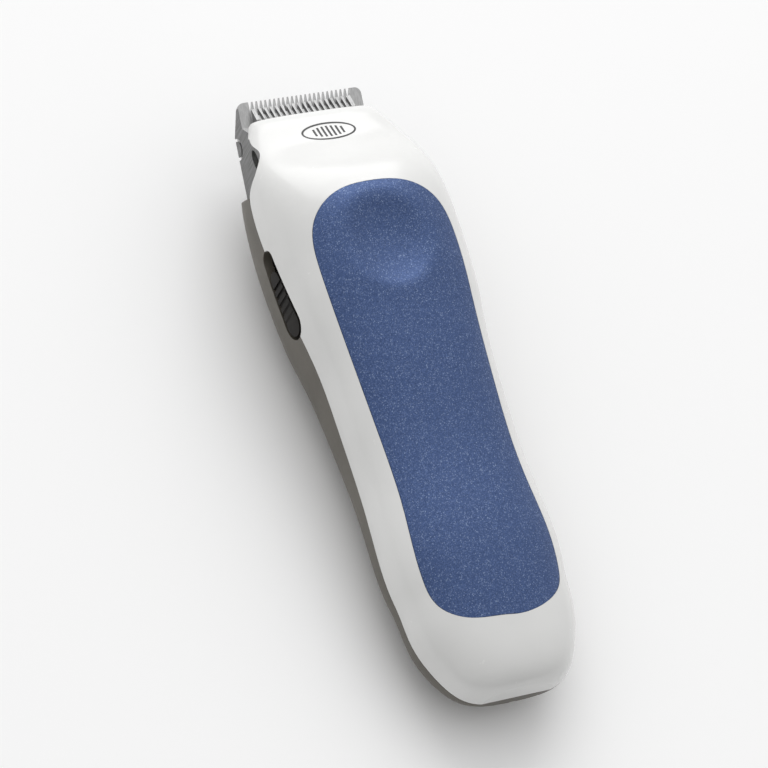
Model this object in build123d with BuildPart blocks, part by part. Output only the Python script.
from build123d import *
from math import cos, pi, radians, sin
import os

os.makedirs("parts", exist_ok=True)

# Compact cordless body groomer lying on its back.  Millimetres, +X to the right when the
# front is seen with the blade away from the viewer, +Y from tail to blade, +Z out of the front.
# Lengths along the body ("reach") are counted from the tail end; along() turns one into Y.

# ---------------------------------------------------------------- driving dimensions

# reach, half width, height of the parting line, height of the front, height of the rear
SECTIONS = [
    (0.0, 8.8, 12.0, 17.6, 9.3),
    (0.8, 11.2, 12.0, 19.4, 7.6),
    (2.6, 13.8, 12.0, 21.0, 5.0),
    (6.5, 16.6, 12.0, 22.6, 2.0),
    (13.5, 19.4, 12.4, 24.2, -0.2),
    (33.5, 21.6, 14.5, 27.3, 1.0),
    (56.5, 20.7, 16.5, 28.8, 1.8),
    (76.5, 21.1, 19.0, 31.8, 0.7),
    (93.5, 22.8, 21.0, 34.4, -0.3),
    (109.5, 24.0, 21.7, 37.3, 1.5),
    (119.0, 23.8, 21.6, 37.9, 3.4),
    (127.5, 23.0, 21.4, 34.0, 5.2),
    (136.0, 21.2, 21.2, 30.0, 7.4),
    (143.5, 18.0, 20.9, 25.6, 10.3),
    (149.9375, 15.6, 20.2, 21.0, 12.8),
]
FRONT_EXPONENT = 2.45
FRONT_EXPONENT_HEAD = 4.6
REAR_EXPONENT_TAIL = 2.1
REAR_EXPONENT_HEAD = 3.1
SECTION_POINTS = 24
# reaches of the lofted sections, closing up towards the rounded tail
LOFT_REACHES = [0.0, 1.2, 3.4, 7.0, 12.5, 20.5, 31.0, 42.0, 54.0, 66.0, 78.0, 90.0, 101.5, 112.5,
                122.5, 132.0, 141.2, 149.9375]

WALL = 2.2
INLAY_DEPTH = 1.2
INLAY_GAP = 0.12
PARTING_GAP = 0.15

HOOD_END = 148.1
HOOD_EDGE = 20.4

# blade unit: its own tilted frame starts where the skin side leaves the rear cover
BLADE_TILT = 21.2
BLADE_REACH = 135.2
BLADE_HEIGHT = 6.9
BLADE_HALF = 16.2
TIP_LENGTH = 23.4
TIP_HEIGHT = 4.85
TIP_THICKNESS = 0.35
SKIN_LENGTH = 16.2
SKIN_PLATE = 1.4
WING = 1.5
COMB_HALF = 13.4
COMB_SLOTS = 23
COMB_SLOT_ROOT = 0.5
COMB_SLOT_TIP = 0.96
COMB_ROOT = 16.8

CUTTER_HALF = 13.0
CUTTER_TEETH = 18
CUTTER_BACK = 9.6
CUTTER_FRONT = 21.6
CUTTER_TOP = 7.1
CUTTER_SHOULDER = 18.7
CUTTER_TIP = 0.3
CUTTER_LIFT = 0.03
GULLET_RADIUS = 0.56
GULLET_START = 17.5      # where the flutes between the teeth run out on the top
GULLET_LEAN = 38.0
TOOTH_GAP = 0.7
TOOTH_ROOT = 20.0

STROKE = 1.2            # crank offset: the cutter swings this far to each side
PIN_RADIUS = 1.0
YOKE_PLAY = 0.5         # side play between the drive pin and the yoke slot

MOTOR_RADIUS = 10.5
MOTOR_LENGTH = 28.0
MOTOR_WALL = 0.8
MOTOR_START = 91.0
MOTOR_AXIS = 19.0
SHAFT_RADIUS = 1.0
RUNNING = 0.03          # radial running clearance of shafts in bushes

CELL_RADIUS = 7.1
CELL_LENGTH = 48.0
CELL_START = 19.0
CELL_SPREAD = 7.25
CELL_AXIS = 12.4

SWITCH_TAIL = (96.4, 20.2)      # reach and height of the round ends of the switch opening
SWITCH_HEAD = (112.3, 21.4)
SWITCH_TAIL_RADIUS = 3.9
SWITCH_HEAD_RADIUS = 2.6
SWITCH_TRAVEL = 5.0
SWITCH_GAP = 0.35
BEZEL_FACE = 21.4       # distance of the switch bezel from the middle plane

INLET_AXIS = 7.4
INLET_BORE = 1.85
INLET_BODY = 3.0
INLET_PIN = 0.6
INLET_DEPTH = 8.0

DISH_REACH = 106.0
DISH_HEIGHT = 36.8
DISH_LEAN = 8.0
DISH_DEPTH = 2.4
DISH_BALL = 36.0
DISH_RIM = 8.0          # rounding of the rim of the thumb rest

# reach and half width of the grip outline between its two ends
INLAY_OUTLINE = [
    (16.4, 10.0),
    (20.5, 15.2),
    (27.0, 16.9),
    (46.0, 16.0),
    (68.0, 16.2),
    (90.0, 17.4),
    (105.0, 18.0),
    (114.0, 16.2),
    (119.3, 10.0),
]
INLAY_BOTTOM = 14.9
INLAY_TOP = 121.0

HEAD_WALL = 1.8
WINDOW_HALF = 12.6
WINDOW_SILL = 2.4       # how far above the skin side the window of the carrier starts
WING_RISE = 17.4        # where the wings start to rise above the comb, towards the hood
WING_TOP = [(147.2, 19.9), (144.4, 20.8), (141.6, 22.9), (138.0, 23.8), (134.0, 22.3)]
EAR_ROUND = 1.6
BLADE_SCREWS = (-8.5, 8.5)
BLADE_SCREW_ROW = 6.0
BLADE_SCREW_HEAD = 2.0
BLADE_SCREW_SHANK = 1.0
BLADE_SCREW_SINK = 1.0
BLADE_SCREW_LENGTH = 4.2
DRIVE_CROSS = (2.2, 0.45)
DRIVE_DEPTH = 0.6
RIVET_SPREAD = 4.6
RIVET_ROW = 12.8
RIVET_RADIUS = 0.8
RIVET_START = 0.3       # above the face between fixed blade and cutter
RIVET_LENGTH = 4.4
RIVET_HEAD_RADIUS = 1.28
RIVET_HEAD_THICK = 0.5
YOKE_REACH = 129.8
YOKE_HALF = 7.2
SPRING_SPREAD = 10.6
SPRING_WIDTH = 2.0
SPRING_THICK = 0.4

BEZEL_BACK = 19.4
BEZEL_FLANGE = 1.2      # width of the flange behind the opening
BEZEL_GAP = 0.12
BUTTON_HEAD = (107.3, 21.0)
BUTTON_TAIL_RADIUS = 3.1
BUTTON_HEAD_RADIUS = 2.2
GROOVES = 5
GROOVE_START = 98.0
GROOVE_PITCH = 2.0
GROOVE_RADIUS = 0.45
GROOVE_OUT = 2.2        # from the bezel face to the axes of the grooves
STEM_REACH = 101.0
STEM_HEIGHT = 20.3
STEM_LENGTH = 3.4
STEM_THICK = 1.8
STEM_PLAY = 0.8
SLIDER_FACE = 15.4
SLIDER_LENGTH = 6.0
SLIDER_THICK = 3.2
SLIDER_DEPTH = 2.4
CRADLE_HALF = 11.6

NOSE_RADIUS = 3.0
NOSE_LENGTH = 1.6
BUSH_RADIUS = 2.1
END_CAP = 2.2
TERMINAL_SPREAD = 5.6
TERMINAL_REACH = 3.0
MAGNET_BORE = 8.0
ARMATURE_RADIUS = 7.2
SHAFT_END = 126.0
CAM_REACH = 123.4
CAM_LENGTH = 4.4
CAM_RADIUS = 4.2
PIN_START = 126.3
PIN_END = 133.8
BULKHEAD_REACH = 119.0
BULKHEAD_THICK = 2.2
BULKHEAD_HEIGHT = 27.0
SEAL_RADIUS = 5.0
SEAL_THICK = 0.8

CELL_CAP = 1.2
CELL_CAP_RADIUS = 2.7
CONTACT_THICK = 0.4
CONTACT_SIZE = 7.0
TRAY_START = 16.6
TRAY_LENGTH = 52.6
TRAY_FLOOR = 5.25
TRAY_THICK = 2.0
END_WALL = 1.5
END_WALL_HEIGHT = 12.0
RAIL_IN = 14.5
RAIL_OUT = 16.0
RAIL_HEIGHT = 6.0
SPINE_WIDTH = 16.0
SPINE_THICK = 3.0
BOARD_POSTS = (38.0, 65.0)
POST_LENGTH = 3.0
BOARD_START = 36.0
BOARD_LENGTH = 34.0
BOARD_HALF = 15.0
BOARD_HEIGHT = 20.4
BOARD_THICK = 1.2
# x, reach, width, length and height of the parts on the circuit board
BOARD_CHIPS = [(0, 44, 8, 6, 1.2), (6, 56, 3, 5, 1.5), (-6, 56, 4, 4, 1.8), (9, 48, 2, 3, 0.8)]
LEAD_RADIUS = 0.6

# x, reach and height of the seat under the head
SCREWS = [(-11.6, 11.6, 5.6), (11.6, 11.6, 5.6), (-15.2, 119.0, 8.2), (15.2, 119.0, 8.2)]
SCREW_HEAD = 2.2
SCREW_SHANK = 1.1
BOSS = 3.0
BOSS_MEET = 10.0        # height where the bosses of the two covers meet
HEAD_THICK = 1.6
SCREW_REACH = 10.0

# ---------------------------------------------------------------- frame and shared forms

TILT = radians(BLADE_TILT)
LENGTH = BLADE_REACH + TIP_LENGTH * cos(TILT) - TIP_HEIGHT * sin(TILT)


def along(reach):
    """Y of a distance counted from the tail end."""
    return reach - LENGTH / 2


BLADE_ORIGIN = (0, along(BLADE_REACH), BLADE_HEIGHT)
BLADE_FLAT = Plane(BLADE_ORIGIN, x_dir=(1, 0, 0), z_dir=(0, -sin(TILT), cos(TILT)))
BLADE_SIDE = Plane(BLADE_ORIGIN, x_dir=(0, cos(TILT), sin(TILT)), z_dir=(1, 0, 0))


def across(reach):
    """Plane square to the body at a reach; its X is X and its Y is up."""
    return Plane.XZ.offset(-along(reach))


def section_outline(reach, half, parting, front, rear):
    """Points of one closed body section: two half superellipses met at the parting height."""
    tail_blend = min(max((reach - 10) / 60, 0), 1)
    head_blend = min(max((reach - 118) / 32, 0), 1)
    rear_exponent = REAR_EXPONENT_TAIL + (REAR_EXPONENT_HEAD - REAR_EXPONENT_TAIL) * tail_blend
    front_exponent = FRONT_EXPONENT + (FRONT_EXPONENT_HEAD - FRONT_EXPONENT) * head_blend
    points = []
    for step in range(SECTION_POINTS):
        angle = 2 * pi * step / SECTION_POINTS
        upper = step <= SECTION_POINTS / 2
        exponent = front_exponent if upper else rear_exponent
        height = front - parting if upper else parting - rear
        swell = (abs(cos(angle)) ** exponent + abs(sin(angle)) ** exponent) ** (-1 / exponent)
        points.append((half * swell * cos(angle), parting + height * swell * sin(angle)))
    return points


def rate(column, n):
    """Slope of a section column at table row n, limited so that it never overshoots."""
    if n in (0, len(SECTIONS) - 1):
        n0, n1 = (0, 1) if n == 0 else (n - 1, n)
        return (SECTIONS[n1][column] - SECTIONS[n0][column]) / (SECTIONS[n1][0] - SECTIONS[n0][0])
    before, here, after = (SECTIONS[n + k] for k in (-1, 0, 1))
    left = (here[column] - before[column]) / (here[0] - before[0])
    right = (after[column] - here[column]) / (after[0] - here[0])
    return 0 if left * right <= 0 else 2 * left * right / (left + right)


def size_at(column, reach):
    """A section size at any reach, from the table by a smooth cubic."""
    n = max(k for k in range(len(SECTIONS) - 1) if SECTIONS[k][0] <= reach + 1e-6)
    first, last = SECTIONS[n], SECTIONS[n + 1]
    span = last[0] - first[0]
    t = (reach - first[0]) / span
    return (
        (1 + 2 * t) * (1 - t) ** 2 * first[column] + t * (1 - t) ** 2 * span * rate(column, n)
        + t * t * (3 - 2 * t) * last[column] - t * t * (1 - t) * span * rate(column, n + 1)
    )


def body_form(inset=0.0, extra_reach=0.0):
    """The whole body as a solid, drawn in by inset on every side and run on past the head."""
    beyond = [LOFT_REACHES[-1] + extra_reach] if extra_reach else []
    with BuildPart() as form:
        for place in LOFT_REACHES + beyond:
            reach = min(place, LOFT_REACHES[-1])
            half, parting, front, rear = (size_at(column, reach) for column in (1, 2, 3, 4))
            with BuildSketch(across(place + inset * max(0, 1 - reach / 30))):
                with BuildLine():
                    points = section_outline(reach, half - inset, parting, front - inset, rear + inset)
                    add(Edge.make_spline([Vector(*point) for point in points], periodic=True,
                                         parameters=list(range(SECTION_POINTS + 1))))
                make_face()
        loft()
    return form.part


def side_prism(outline, half=40.0):
    """Solid of a side-view outline (reach, height), drawn across the whole width."""
    with BuildPart() as prism:
        with BuildSketch(Plane.YZ):
            with BuildLine():
                outline()
            make_face()
        extrude(amount=half, both=True)
    return prism.part


def parting_points():
    return [(along(reach), size_at(2, reach)) for reach in (13.5, 33.5, 56.5, 76.5, 93.5, 109.5, 127.5)]


def front_edge():
    """Lower edge of the front cover in side view, closed over the top."""
    line = parting_points()
    tail = Line((along(-4), 12.0), line[0])
    edge = Spline([line[0]] + line[1:], tangents=[(1, 0.02), (1, 0.1)])
    rise = Spline(
        [edge @ 1, (along(132.6), 26.2), (along(137.5), 26.6), (along(141.6), 24.0),
         (along(144.6), 21.6), (along(HOOD_END + 3), HOOD_EDGE)],
        tangents=[edge % 1, (1, 0)],
    )
    Polyline(rise @ 1, (along(HOOD_END + 3), 60), (along(-4), 60), tail @ 0)


def rear_edge():
    """Upper edge of the rear cover in side view, closed underneath."""
    line = [(y, z - PARTING_GAP) for y, z in parting_points()]
    tail = Line((along(-4), 12.0 - PARTING_GAP), line[0])
    edge = Spline(line, tangents=[(1, 0.02), (1, 0.1)])
    end = (BLADE_SIDE.from_local_coords((-0.3, 15.2)))
    low = (BLADE_SIDE.from_local_coords((-0.3, -10)))
    Polyline(edge @ 1, (end.Y, end.Z), (low.Y, low.Z), (along(-4), low.Z), tail @ 0)


outer = body_form()
core = body_form(WALL, extra_reach=3.0)
inner_limit = body_form(WALL + 0.12)
inlay_floor = body_form(INLAY_DEPTH)
front_space = side_prism(front_edge)
rear_space = side_prism(rear_edge)


def dish(lowered):
    """The ball that hollows the thumb rest, moved in along the surface normal by lowered."""
    lift = DISH_BALL - DISH_DEPTH - lowered
    lean = radians(DISH_LEAN)
    centre = (0, along(DISH_REACH) - lift * sin(lean), DISH_HEIGHT + lift * cos(lean))
    with BuildPart() as ball:
        with Locations(centre):
            Sphere(DISH_BALL)
    return ball.part


def inlay_prism(gap):
    """Upright prism of the grip outline, drawn in by gap."""
    right = [(half - gap, along(reach)) for reach, half in INLAY_OUTLINE]
    left = [(-x, y) for x, y in reversed(right)]
    bottom = (0, along(INLAY_BOTTOM) + gap)
    top = (0, along(INLAY_TOP) - gap)
    with BuildPart() as prism:
        with BuildSketch(Plane.XY.offset(16)):
            with BuildLine():
                Spline([bottom] + right + [top] + left, periodic=True)
            make_face()
        extrude(amount=40)
    return prism.part


def switch_outline(near, tail_radius, head, head_radius):
    """Tapered capsule in side view, drawn on the current side sketch plane."""
    with Locations((along(near[0]), near[1])):
        Circle(tail_radius)
    with Locations((along(head[0]), head[1])):
        Circle(head_radius)
    make_hull()


def save(piece, name):
    piece.part.label = name
    export_step(piece.part, f"parts/{name}.step")


# ---------------------------------------------------------------- grip inlay
with BuildPart() as inlay_bed:
    add(inlay_floor)
    add(dish(INLAY_DEPTH), mode=Mode.SUBTRACT)

with BuildPart() as inlay_recess:
    add(outer)
    add(inlay_prism(0), mode=Mode.INTERSECT)
    add(inlay_bed.part, mode=Mode.SUBTRACT)

with BuildPart() as grip_inlay:
    add(outer)
    add(inlay_prism(INLAY_GAP), mode=Mode.INTERSECT)
    add(inlay_bed.part, mode=Mode.SUBTRACT)
    add(dish(0), mode=Mode.SUBTRACT)
    hollow = grip_inlay.faces().filter_by(GeomType.SPHERE).sort_by(Axis.Z)[-1]
    fillet(hollow.edges(), DISH_RIM)
save(grip_inlay, "grip_inlay")

# thickening of the front cover under the thumb rest
with BuildPart() as thumb_floor:
    with Locations((0, along(DISH_REACH), DISH_HEIGHT - DISH_DEPTH)):
        Cylinder(DISH_BALL / 2.6, 7)
    add(inlay_floor, mode=Mode.INTERSECT)

# ---------------------------------------------------------------- covers
def boss_posts(radius, low, high):
    """Screw posts between two heights, kept inside the wall of the body."""
    with BuildPart() as posts:
        for x, reach, _ in SCREWS:
            with BuildSketch(Plane.XY.offset(low)):
                with Locations((x, along(reach))):
                    Circle(radius)
            extrude(amount=high - low)
        add(inlay_floor, mode=Mode.INTERSECT)
    return posts.part


with BuildPart() as switch_opening:
    with BuildSketch(Plane.YZ.offset(-30)):
        switch_outline(SWITCH_TAIL, SWITCH_TAIL_RADIUS, SWITCH_HEAD, SWITCH_HEAD_RADIUS)
    extrude(amount=14)

with BuildPart() as front_cover:
    add(outer)
    add(core, mode=Mode.SUBTRACT)
    add(front_space, mode=Mode.INTERSECT)
    add(boss_posts(BOSS, BOSS_MEET, 50))
    add(thumb_floor.part)
    for x, reach, seat in SCREWS:
        with Locations((x, along(reach), BOSS_MEET - 1)):
            Cylinder(SCREW_SHANK, seat + SCREW_REACH + 1.4 - BOSS_MEET,
                     align=(Align.CENTER, Align.CENTER, Align.MIN), mode=Mode.SUBTRACT)
    add(inlay_recess.part, mode=Mode.SUBTRACT)
    add(switch_opening.part, mode=Mode.SUBTRACT)
    with BuildSketch(across(HOOD_END)):
        Rectangle(80, 120)
    extrude(amount=-20, mode=Mode.SUBTRACT)
save(front_cover, "front_cover")

# the hollow of the rear cover stops short of its head end, which leaves a front wall
with BuildPart() as rear_hollow:
    add(core)
    with BuildSketch(BLADE_SIDE):
        with Locations((-HEAD_WALL, 0)):
            Rectangle(40, 80, align=(Align.MIN, Align.CENTER))
    extrude(amount=40, both=True, mode=Mode.SUBTRACT)

with BuildPart() as rear_cover:
    add(outer)
    add(rear_space, mode=Mode.INTERSECT)
    split(bisect_by=Plane.XY, keep=Keep.TOP)
    add(rear_hollow.part, mode=Mode.SUBTRACT)
    add(boss_posts(BOSS + 0.6, 0, BOSS_MEET))
    for x, reach, seat in SCREWS:
        with Locations((x, along(reach), -5)):
            Cylinder(SCREW_SHANK + 0.2, 40, mode=Mode.SUBTRACT)
            Cylinder(SCREW_HEAD + 0.3, 5 + seat, align=(Align.CENTER, Align.CENTER, Align.MIN),
                     mode=Mode.SUBTRACT)
    add(switch_opening.part, mode=Mode.SUBTRACT)
    # window for the blade carrier and the drive
    with BuildSketch(BLADE_SIDE):
        with Locations((-6, WINDOW_SILL)):
            Rectangle(12, 30, align=(Align.MIN, Align.MIN))
    extrude(amount=WINDOW_HALF, both=True, mode=Mode.SUBTRACT)
    # inlet opening in the sloping tail
    with BuildSketch(Plane.XZ.offset(LENGTH / 2 + 1)):
        with Locations((0, INLET_AXIS)):
            Circle(INLET_BORE + 0.35)
    extrude(amount=-7, mode=Mode.SUBTRACT)
save(rear_cover, "rear_cover")

# screws, heads sunk in the rear cover
with BuildPart() as housing_screws:
    for x, reach, seat in SCREWS:
        with Locations((x, along(reach), seat)):
            Cylinder(SCREW_HEAD, HEAD_THICK, align=(Align.CENTER, Align.CENTER, Align.MAX))
            Cylinder(SCREW_SHANK, SCREW_REACH, align=(Align.CENTER, Align.CENTER, Align.MIN))
        with Locations((x, along(reach), seat - HEAD_THICK)):
            Box(2.8, 0.6, 1.4, mode=Mode.SUBTRACT)
            Box(0.6, 2.8, 1.4, mode=Mode.SUBTRACT)
save(housing_screws, "housing_screws")

# ---------------------------------------------------------------- blade unit


def world_to_blade(reach, height):
    """Local side coordinates of the blade unit for a point of the body's side view."""
    dy, dz = reach - BLADE_REACH, height - BLADE_HEIGHT
    return (dy * cos(TILT) + dz * sin(TILT), dz * cos(TILT) - dy * sin(TILT))


def wing_outline():
    """Side view of the steel wings, from the skin side up to the edge of the hood."""
    top = [world_to_blade(*p) for p in WING_TOP]
    tip = (TIP_LENGTH, TIP_HEIGHT)
    Polyline((0, 0), (SKIN_LENGTH, 0), (TIP_LENGTH, TIP_HEIGHT - TIP_THICKNESS), tip,
             (WING_RISE, TIP_HEIGHT), *top, (0, 0))


with BuildPart() as fixed_blade:
    with BuildSketch(BLADE_SIDE):
        with BuildLine():
            Polyline((0, 0), (SKIN_LENGTH, 0), (TIP_LENGTH, TIP_HEIGHT - TIP_THICKNESS),
                     (TIP_LENGTH, TIP_HEIGHT), (13.0, TIP_HEIGHT), (11.6, SKIN_PLATE),
                     (0, SKIN_PLATE), (0, 0))
        make_face()
    extrude(amount=BLADE_HALF, both=True)
    for side in (-1, 1):
        with BuildSketch(BLADE_SIDE.offset(side * (BLADE_HALF - WING / 2))):
            with BuildLine():
                wing_outline()
            make_face()
        extrude(amount=WING / 2, both=True)
    # rounded outer corners of the two ears
    for side in (-1, 1):
        with BuildSketch(BLADE_FLAT.offset(-1)):
            with BuildLine():
                corner = side * BLADE_HALF
                Polyline((corner, TIP_LENGTH - EAR_ROUND), (corner, TIP_LENGTH + 1),
                         (corner - side * EAR_ROUND, TIP_LENGTH + 1),
                         (corner - side * EAR_ROUND, TIP_LENGTH))
                RadiusArc((corner - side * EAR_ROUND, TIP_LENGTH),
                          (corner, TIP_LENGTH - EAR_ROUND), side * EAR_ROUND)
            make_face()
        extrude(amount=12, mode=Mode.SUBTRACT)
    # comb slots with round roots, opening towards the tips so that the teeth are pointed
    pitch = 2 * COMB_HALF / COMB_SLOTS
    slot_end = TIP_LENGTH + 1
    with BuildSketch(BLADE_FLAT.offset(-1)):
        with GridLocations(pitch, 0, COMB_SLOTS, 1):
            with Locations((0, COMB_ROOT + COMB_SLOT_ROOT / 2)):
                Circle(COMB_SLOT_ROOT / 2)
            with Locations((0, 0)):
                Polygon((-COMB_SLOT_ROOT / 2, COMB_ROOT + COMB_SLOT_ROOT / 2),
                        (-COMB_SLOT_TIP / 2, slot_end), (COMB_SLOT_TIP / 2, slot_end),
                        (COMB_SLOT_ROOT / 2, COMB_ROOT + COMB_SLOT_ROOT / 2), align=None)
    extrude(amount=12, mode=Mode.SUBTRACT)
    # countersunk holes for the two blade screws
    for x in BLADE_SCREWS:
        with BuildSketch(BLADE_FLAT):
            with Locations((x, BLADE_SCREW_ROW)):
                Circle(BLADE_SCREW_HEAD)
        extrude(amount=BLADE_SCREW_SINK, taper=45, mode=Mode.SUBTRACT)
        with BuildSketch(BLADE_FLAT):
            with Locations((x, BLADE_SCREW_ROW)):
                Circle(BLADE_SCREW_SHANK)
        extrude(amount=3, mode=Mode.SUBTRACT)
    # side window and pressed D mark on each wing
    for side in (-1, 1):
        with BuildSketch(BLADE_SIDE.offset(side * (BLADE_HALF - WING / 2))):
            with Locations(world_to_blade(140.3, 18.6)):
                Ellipse(2.7, 1.4, rotation=-20)
        extrude(amount=WING, both=True, mode=Mode.SUBTRACT)
        with BuildSketch(BLADE_SIDE.offset(side * BLADE_HALF)):
            with Locations((13.2, 0.4)):
                Circle(2.6)
                Circle(1.9, mode=Mode.SUBTRACT)
        extrude(amount=0.5, both=True, mode=Mode.SUBTRACT)
save(fixed_blade, "fixed_blade")

with BuildPart() as moving_cutter:
    bottom = TIP_HEIGHT + CUTTER_LIFT
    with BuildSketch(BLADE_SIDE):
        with BuildLine():
            Polyline((CUTTER_BACK, bottom), (CUTTER_FRONT, bottom), (CUTTER_FRONT, bottom + CUTTER_TIP),
                     (CUTTER_SHOULDER, CUTTER_TOP), (CUTTER_BACK, CUTTER_TOP), (CUTTER_BACK, bottom))
        make_face()
    extrude(amount=CUTTER_HALF, both=True)
    pitch = 2 * CUTTER_HALF / CUTTER_TEETH
    # straight gaps between the tooth tips, each continued by a round flute that climbs to the top
    with BuildSketch(BLADE_FLAT):
        with Locations((0, TOOTH_ROOT)):
            with GridLocations(pitch, 0, CUTTER_TEETH - 1, 1):
                Rectangle(TOOTH_GAP, 6, align=(Align.CENTER, Align.MIN))
    extrude(amount=12, mode=Mode.SUBTRACT)
    lean = radians(GULLET_LEAN)
    above = (GULLET_START + GULLET_RADIUS * sin(lean) - cos(lean),
             CUTTER_TOP + GULLET_RADIUS * cos(lean) + sin(lean))
    flute = Plane(BLADE_SIDE.from_local_coords(above), x_dir=(1, 0, 0),
                  z_dir=BLADE_SIDE.from_local_coords((cos(lean), -sin(lean))) - BLADE_SIDE.origin)
    with BuildSketch(flute):
        with GridLocations(pitch, 0, CUTTER_TEETH - 1, 1):
            Circle(GULLET_RADIUS)
    extrude(amount=9, mode=Mode.SUBTRACT)
    for x in (-RIVET_SPREAD, RIVET_SPREAD):
        with BuildSketch(BLADE_FLAT):
            with Locations((x, RIVET_ROW)):
                Circle(RIVET_RADIUS)
        extrude(amount=12, mode=Mode.SUBTRACT)
save(moving_cutter, "moving_cutter")

with BuildPart() as cutter_yoke:
    with BuildSketch(BLADE_SIDE):
        with BuildLine():
            Polyline((10.2, CUTTER_TOP), (15.4, CUTTER_TOP), (15.4, CUTTER_TOP + 1.3),
                     (10.6, CUTTER_TOP + 2.4), world_to_blade(133.4, 21.0), world_to_blade(133.4, 24.4),
                     world_to_blade(YOKE_REACH, 24.4), world_to_blade(YOKE_REACH, 15.6),
                     world_to_blade(133.0, 15.6), world_to_blade(133.4, 17.0), (10.2, CUTTER_TOP))
        make_face()
    extrude(amount=YOKE_HALF, both=True)
    with BuildSketch(across(YOKE_REACH - 1)):
        with Locations((0, MOTOR_AXIS)):
            Rectangle(2 * (PIN_RADIUS + YOKE_PLAY), 2 * (STROKE + PIN_RADIUS + YOKE_PLAY))
    extrude(amount=-6, mode=Mode.SUBTRACT)
    for x in (-RIVET_SPREAD, RIVET_SPREAD):
        with BuildSketch(BLADE_FLAT):
            with Locations((x, RIVET_ROW)):
                Circle(RIVET_RADIUS)
        extrude(amount=12, mode=Mode.SUBTRACT)
save(cutter_yoke, "cutter_yoke")

with BuildPart() as cutter_rivets:
    for x in (-RIVET_SPREAD, RIVET_SPREAD):
        with BuildSketch(BLADE_FLAT.offset(TIP_HEIGHT + RIVET_START)):
            with Locations((x, RIVET_ROW)):
                Circle(RIVET_RADIUS)
        extrude(amount=RIVET_LENGTH)
        with BuildSketch(BLADE_FLAT.offset(TIP_HEIGHT + RIVET_START + RIVET_LENGTH)):
            with Locations((x, RIVET_ROW)):
                Circle(RIVET_HEAD_RADIUS)
        extrude(amount=RIVET_HEAD_THICK)
save(cutter_rivets, "cutter_rivets")

with BuildPart() as blade_carrier:
    with BuildSketch(BLADE_SIDE):
        with BuildLine():
            Polyline((-5.5, WINDOW_SILL + 0.2), (-0.2, WINDOW_SILL + 0.2), (0, SKIN_PLATE),
                     (11.4, SKIN_PLATE), (12.6, TIP_HEIGHT - 0.2), (2.4, TIP_HEIGHT - 0.2),
                     (2.4, 8.6), (-0.1, 8.6), (-0.1, 5.4), (-5.5, 5.4),
                     (-5.5, WINDOW_SILL + 0.2))
        make_face()
    extrude(amount=WINDOW_HALF - 0.3, both=True)
    # room for the yoke
    with BuildSketch(BLADE_FLAT.offset(TIP_HEIGHT)):
        Rectangle(2 * (YOKE_HALF + STROKE + 0.5), 8)
    extrude(amount=8, mode=Mode.SUBTRACT)
    for x in BLADE_SCREWS:
        with BuildSketch(BLADE_FLAT):
            with Locations((x, BLADE_SCREW_ROW)):
                Circle(BLADE_SCREW_SHANK)
        extrude(amount=BLADE_SCREW_LENGTH, mode=Mode.SUBTRACT)
save(blade_carrier, "blade_carrier")

with BuildPart() as blade_screws:
    for x in BLADE_SCREWS:
        with BuildSketch(BLADE_FLAT):
            with Locations((x, BLADE_SCREW_ROW)):
                Circle(BLADE_SCREW_HEAD)
        extrude(amount=BLADE_SCREW_SINK, taper=45)
        with BuildSketch(BLADE_FLAT):
            with Locations((x, BLADE_SCREW_ROW)):
                Circle(BLADE_SCREW_SHANK)
        extrude(amount=BLADE_SCREW_LENGTH)
        with BuildSketch(BLADE_FLAT):
            with Locations((x, BLADE_SCREW_ROW)):
                Rectangle(*DRIVE_CROSS)
                Rectangle(*reversed(DRIVE_CROSS))
        extrude(amount=DRIVE_DEPTH, mode=Mode.SUBTRACT)
save(blade_screws, "blade_screws")

with BuildPart() as cutter_spring:
    for side in (-1, 1):
        with BuildSketch(BLADE_SIDE.offset(side * SPRING_SPREAD)):
            with BuildLine():
                Polyline((0.1, 8.82), (2.6, 8.82), (5.0, 9.1), (12.4, CUTTER_TOP + 0.65))
            trace(line_width=SPRING_THICK)
        extrude(amount=SPRING_WIDTH / 2, both=True)
save(cutter_spring, "cutter_spring")

# ---------------------------------------------------------------- switch


def bezel_place(depth):
    """Side sketch plane at a distance left of the middle plane."""
    return Plane.YZ.offset(-depth)


with BuildPart() as switch_bezel:
    # flange behind the cover walls, then the face that shows in the opening
    with BuildSketch(bezel_place(BEZEL_BACK)):
        switch_outline(SWITCH_TAIL, SWITCH_TAIL_RADIUS + BEZEL_FLANGE,
                       SWITCH_HEAD, SWITCH_HEAD_RADIUS + BEZEL_FLANGE)
    extrude(amount=-1.0)
    add(inner_limit, mode=Mode.INTERSECT)
    with BuildSketch(bezel_place(BEZEL_BACK)):
        switch_outline(SWITCH_TAIL, SWITCH_TAIL_RADIUS - BEZEL_GAP,
                       SWITCH_HEAD, SWITCH_HEAD_RADIUS - BEZEL_GAP)
    extrude(amount=-(BEZEL_FACE - BEZEL_BACK))
    with BuildSketch(bezel_place(BEZEL_FACE + 1)):
        with Locations((along(STEM_REACH + SWITCH_TRAVEL / 2), STEM_HEIGHT)):
            SlotOverall(STEM_LENGTH + SWITCH_TRAVEL + STEM_PLAY, STEM_THICK + STEM_PLAY)
    extrude(amount=5, mode=Mode.SUBTRACT)
save(switch_bezel, "switch_bezel")

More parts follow.
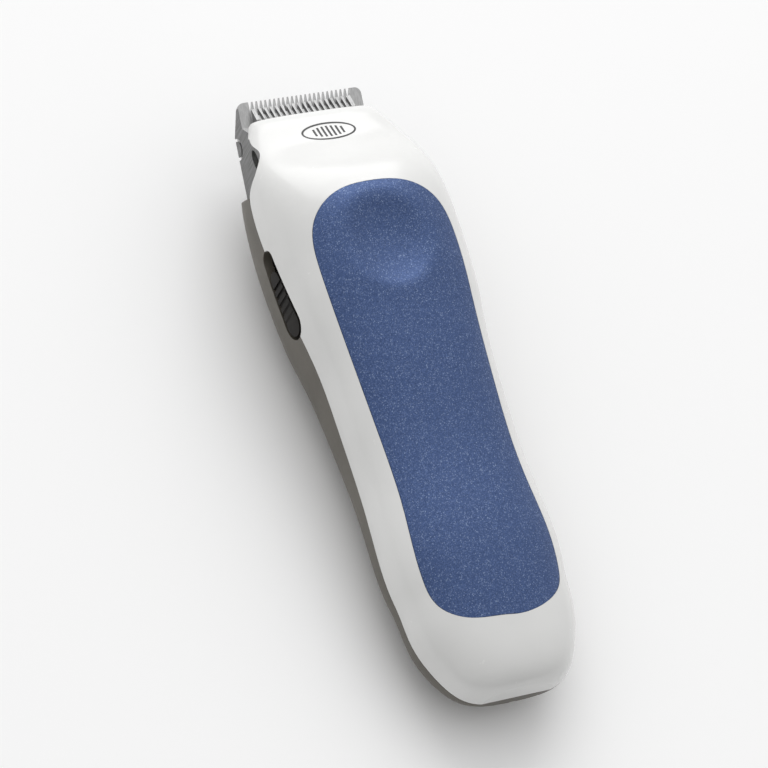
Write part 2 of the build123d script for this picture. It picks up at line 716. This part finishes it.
with BuildPart() as switch_button:
    with BuildSketch(bezel_place(BEZEL_FACE + SWITCH_GAP)):
        switch_outline(SWITCH_TAIL, BUTTON_TAIL_RADIUS, BUTTON_HEAD, BUTTON_HEAD_RADIUS)
    extrude(amount=-4)
    add(outer, mode=Mode.INTERSECT)
    # finger grooves across the face of the button
    for n in range(GROOVES):
        reach = GROOVE_START + GROOVE_PITCH * n
        with Locations((-(BEZEL_FACE + GROOVE_OUT), along(reach), SWITCH_TAIL[1] + 0.5)):
            Cylinder(GROOVE_RADIUS, 12, mode=Mode.SUBTRACT)
    with BuildSketch(bezel_place(SLIDER_FACE)):
        with Locations((along(STEM_REACH), STEM_HEIGHT)):
            Rectangle(STEM_LENGTH, STEM_THICK)
    extrude(amount=-(BEZEL_FACE + SWITCH_GAP - SLIDER_FACE + 0.3))
save(switch_button, "switch_button")

with BuildPart() as switch_slider:
    with BuildSketch(bezel_place(SLIDER_FACE)):
        with Locations((along(STEM_REACH), STEM_HEIGHT)):
            Rectangle(SLIDER_LENGTH, SLIDER_THICK)
    extrude(amount=SLIDER_DEPTH)
save(switch_slider, "switch_slider")

with BuildPart() as switch_housing:
    middle = along(STEM_REACH + SWITCH_TRAVEL / 2)
    with BuildSketch(bezel_place(CRADLE_HALF)):
        with Locations((middle, STEM_HEIGHT)):
            Rectangle(SLIDER_LENGTH + SWITCH_TRAVEL + 3.0, SLIDER_THICK + 2.8)
    extrude(amount=-(SLIDER_FACE - CRADLE_HALF))
    with BuildSketch(bezel_place(SLIDER_FACE + 1)):
        with Locations((middle, STEM_HEIGHT)):
            Rectangle(SLIDER_LENGTH + SWITCH_TRAVEL + 0.8, SLIDER_THICK + 0.7)
    extrude(amount=SLIDER_DEPTH + 1.35, mode=Mode.SUBTRACT)
save(switch_housing, "switch_housing")

# ---------------------------------------------------------------- motor and drive


def turned(reach, length, radius, bore=0.0, height=MOTOR_AXIS, x=0.0):
    """A disc, rod or ring on a line along the body."""
    with BuildPart() as round_piece:
        with BuildSketch(across(reach)):
            with Locations((x, height)):
                Circle(radius)
                if bore:
                    Circle(bore, mode=Mode.SUBTRACT)
        extrude(amount=-length)
    return round_piece.part


MOTOR_END = MOTOR_START + MOTOR_LENGTH

with BuildPart() as motor_can:
    add(turned(MOTOR_START, MOTOR_LENGTH, MOTOR_RADIUS))
    add(turned(MOTOR_START, MOTOR_LENGTH - MOTOR_WALL, MOTOR_RADIUS - MOTOR_WALL), mode=Mode.SUBTRACT)
    add(turned(MOTOR_END, NOSE_LENGTH, NOSE_RADIUS))
    add(turned(MOTOR_END - 2, NOSE_LENGTH + 2, BUSH_RADIUS), mode=Mode.SUBTRACT)
save(motor_can, "motor_can")

with BuildPart() as motor_end_cap:
    add(turned(MOTOR_START, END_CAP, MOTOR_RADIUS - MOTOR_WALL, BUSH_RADIUS))
    with BuildSketch(across(MOTOR_START)):
        with Locations((-TERMINAL_SPREAD, MOTOR_AXIS), (TERMINAL_SPREAD, MOTOR_AXIS)):
            Rectangle(2.2, 0.5)
    extrude(amount=-END_CAP, mode=Mode.SUBTRACT)
save(motor_end_cap, "motor_end_cap")

with BuildPart() as motor_terminals:
    with BuildSketch(across(MOTOR_START - TERMINAL_REACH)):
        with Locations((-TERMINAL_SPREAD, MOTOR_AXIS), (TERMINAL_SPREAD, MOTOR_AXIS)):
            Rectangle(2.2, 0.5)
    extrude(amount=-(TERMINAL_REACH + END_CAP))
save(motor_terminals, "motor_terminals")

with BuildPart() as motor_bush_rear:
    add(turned(MOTOR_START, END_CAP, BUSH_RADIUS, SHAFT_RADIUS + RUNNING))
save(motor_bush_rear, "motor_bush_rear")

with BuildPart() as motor_bush_front:
    add(turned(MOTOR_END - 0.8, NOSE_LENGTH + 0.8, BUSH_RADIUS, SHAFT_RADIUS + RUNNING))
save(motor_bush_front, "motor_bush_front")

with BuildPart() as motor_magnets:
    add(turned(MOTOR_START + 5, 19, MOTOR_RADIUS - MOTOR_WALL, MAGNET_BORE))
    with BuildSketch(across(MOTOR_START + 4)):
        with Locations((0, MOTOR_AXIS)):
            Rectangle(6, 40)
    extrude(amount=-22, mode=Mode.SUBTRACT)
save(motor_magnets, "motor_magnets")

with BuildPart() as motor_armature:
    add(turned(MOTOR_START + 8, 14, ARMATURE_RADIUS, SHAFT_RADIUS))
    with BuildSketch(across(MOTOR_START + 7)):
        with Locations((0, MOTOR_AXIS)):
            with PolarLocations(ARMATURE_RADIUS, 3, start_angle=90):
                Rectangle(6.0, 1.4)
    extrude(amount=-16, mode=Mode.SUBTRACT)
save(motor_armature, "motor_armature")

with BuildPart() as commutator:
    add(turned(MOTOR_START + END_CAP + 0.8, 4, 2.4, SHAFT_RADIUS))
save(commutator, "commutator")

with BuildPart() as motor_shaft:
    add(turned(MOTOR_START - 0.6, SHAFT_END - MOTOR_START + 0.6, SHAFT_RADIUS))
save(motor_shaft, "motor_shaft")

with BuildPart() as eccentric_cam:
    add(turned(CAM_REACH, CAM_LENGTH, CAM_RADIUS))
    add(turned(CAM_REACH, SHAFT_END - CAM_REACH, SHAFT_RADIUS), mode=Mode.SUBTRACT)
    add(turned(PIN_START, CAM_LENGTH, PIN_RADIUS, height=MOTOR_AXIS + STROKE), mode=Mode.SUBTRACT)
    # flat that balances the pin
    with BuildSketch(across(CAM_REACH + 1.6)):
        with Locations((0, MOTOR_AXIS + CAM_RADIUS)):
            Rectangle(2 * CAM_RADIUS, 1.6)
    extrude(amount=-CAM_LENGTH, mode=Mode.SUBTRACT)
save(eccentric_cam, "eccentric_cam")

with BuildPart() as drive_pin:
    add(turned(PIN_START, PIN_END - PIN_START, PIN_RADIUS, height=MOTOR_AXIS + STROKE))
save(drive_pin, "drive_pin")

with BuildPart() as hair_seal:
    add(turned(BULKHEAD_REACH + BULKHEAD_THICK, SEAL_THICK, SEAL_RADIUS, SHAFT_RADIUS + 0.5))
save(hair_seal, "hair_seal")

# ---------------------------------------------------------------- inner frame and power
with BuildPart() as chassis:
    # battery tray with rails and end walls
    with Locations((0, along(TRAY_START), TRAY_FLOOR - TRAY_THICK)):
        Box(2 * RAIL_OUT, TRAY_LENGTH, TRAY_THICK, align=(Align.CENTER, Align.MIN, Align.MIN))
    for side in (-1, 1):
        with Locations((side * (RAIL_IN + RAIL_OUT) / 2, along(TRAY_START), TRAY_FLOOR)):
            Box(RAIL_OUT - RAIL_IN, TRAY_LENGTH, RAIL_HEIGHT,
                align=(Align.CENTER, Align.MIN, Align.MIN))
        for reach in BOARD_POSTS:
            with Locations((side * (RAIL_IN + RAIL_OUT) / 2, along(reach), TRAY_FLOOR)):
                Box(RAIL_OUT - RAIL_IN, POST_LENGTH, BOARD_HEIGHT - TRAY_FLOOR,
                    align=(Align.CENTER, Align.MIN, Align.MIN))
    for reach in (TRAY_START, TRAY_START + TRAY_LENGTH - END_WALL):
        with Locations((0, along(reach), TRAY_FLOOR)):
            Box(2 * RAIL_OUT, END_WALL, END_WALL_HEIGHT, align=(Align.CENTER, Align.MIN, Align.MIN))
    # spine that joins the tray to the motor cradle
    with Locations((0, along(TRAY_START + TRAY_LENGTH), TRAY_FLOOR - TRAY_THICK)):
        Box(SPINE_WIDTH, BULKHEAD_REACH - TRAY_START - TRAY_LENGTH, SPINE_THICK,
            align=(Align.CENTER, Align.MIN, Align.MIN))
    with Locations((0, along(MOTOR_START), TRAY_FLOOR - TRAY_THICK)):
        Box(2 * CRADLE_HALF, MOTOR_LENGTH, MOTOR_AXIS - TRAY_FLOOR + TRAY_THICK,
            align=(Align.CENTER, Align.MIN, Align.MIN))
    with Locations((0, along(BULKHEAD_REACH), TRAY_FLOOR - TRAY_THICK)):
        Box(2 * CRADLE_HALF, BULKHEAD_THICK, BULKHEAD_HEIGHT,
            align=(Align.CENTER, Align.MIN, Align.MIN))
    add(turned(MOTOR_START - 1, MOTOR_LENGTH + 1, MOTOR_RADIUS), mode=Mode.SUBTRACT)
    add(turned(BULKHEAD_REACH - 1, 6, NOSE_RADIUS + 0.05), mode=Mode.SUBTRACT)
    add(inner_limit, mode=Mode.INTERSECT)
save(chassis, "chassis")

for side, name in ((-1, "battery_cell_left"), (1, "battery_cell_right")):
    with BuildPart() as cell:
        cap_reach = CELL_START + CELL_LENGTH - CELL_CAP
        x = side * CELL_SPREAD
        add(turned(CELL_START, CELL_LENGTH - CELL_CAP, CELL_RADIUS, height=CELL_AXIS, x=x))
        add(turned(cap_reach, CELL_CAP, CELL_CAP_RADIUS, height=CELL_AXIS, x=x))
    save(cell, name)

with BuildPart() as battery_contacts:
    with Locations((0, along(CELL_START + CELL_LENGTH), CELL_AXIS)):
        Box(2 * CELL_SPREAD + CONTACT_SIZE, CONTACT_THICK, CONTACT_SIZE - 1,
            align=(Align.CENTER, Align.MIN, Align.CENTER))
    for side in (-1, 1):
        with Locations((side * CELL_SPREAD, along(CELL_START), CELL_AXIS)):
            Box(CONTACT_SIZE, CONTACT_THICK, CONTACT_SIZE,
                align=(Align.CENTER, Align.MAX, Align.CENTER))
save(battery_contacts, "battery_contacts")

with BuildPart() as circuit_board:
    with Locations((0, along(BOARD_START), BOARD_HEIGHT)):
        Box(2 * BOARD_HALF, BOARD_LENGTH, BOARD_THICK, align=(Align.CENTER, Align.MIN, Align.MIN))
save(circuit_board, "circuit_board")

with BuildPart() as board_components:
    top = BOARD_HEIGHT + BOARD_THICK
    for x, reach, wide, long, high in BOARD_CHIPS:
        with Locations((x, along(reach), top)):
            Box(wide, long, high, align=(Align.CENTER, Align.CENTER, Align.MIN))
save(board_components, "board_components")

with BuildPart() as power_inlet:
    add(turned(0.5, INLET_DEPTH + 5.5, INLET_BODY, height=INLET_AXIS))
    add(inner_limit, mode=Mode.INTERSECT)
    add(turned(0, INLET_DEPTH + 4, INLET_BORE, height=INLET_AXIS), mode=Mode.SUBTRACT)
save(power_inlet, "power_inlet")

with BuildPart() as inlet_pin:
    add(turned(4.5, INLET_DEPTH - 0.5, INLET_PIN, height=INLET_AXIS))
save(inlet_pin, "inlet_pin")


def lead(points, radii, name):
    """A short insulated lead between two soldered ends."""
    with BuildPart() as wire:
        with BuildLine() as route:
            FilletPolyline(*points, radius=radii)
        with BuildSketch(Plane(route.line @ 0, z_dir=route.line % 0)):
            Circle(LEAD_RADIUS)
        sweep()
    save(wire, name)


for side, name in ((-1, "motor_lead_black"), (1, "motor_lead_red")):
    x = side * TERMINAL_SPREAD
    lead([
        (x, along(MOTOR_START - TERMINAL_REACH), MOTOR_AXIS),
        (x, along(MOTOR_START - TERMINAL_REACH - 4), MOTOR_AXIS),
        (x, along(MOTOR_START - TERMINAL_REACH - 8), BOARD_HEIGHT + 2.0),
        (x, along(BOARD_START + BOARD_LENGTH - 2), BOARD_HEIGHT + 1.2 + LEAD_RADIUS),
    ], [3.0, 3.0], name)
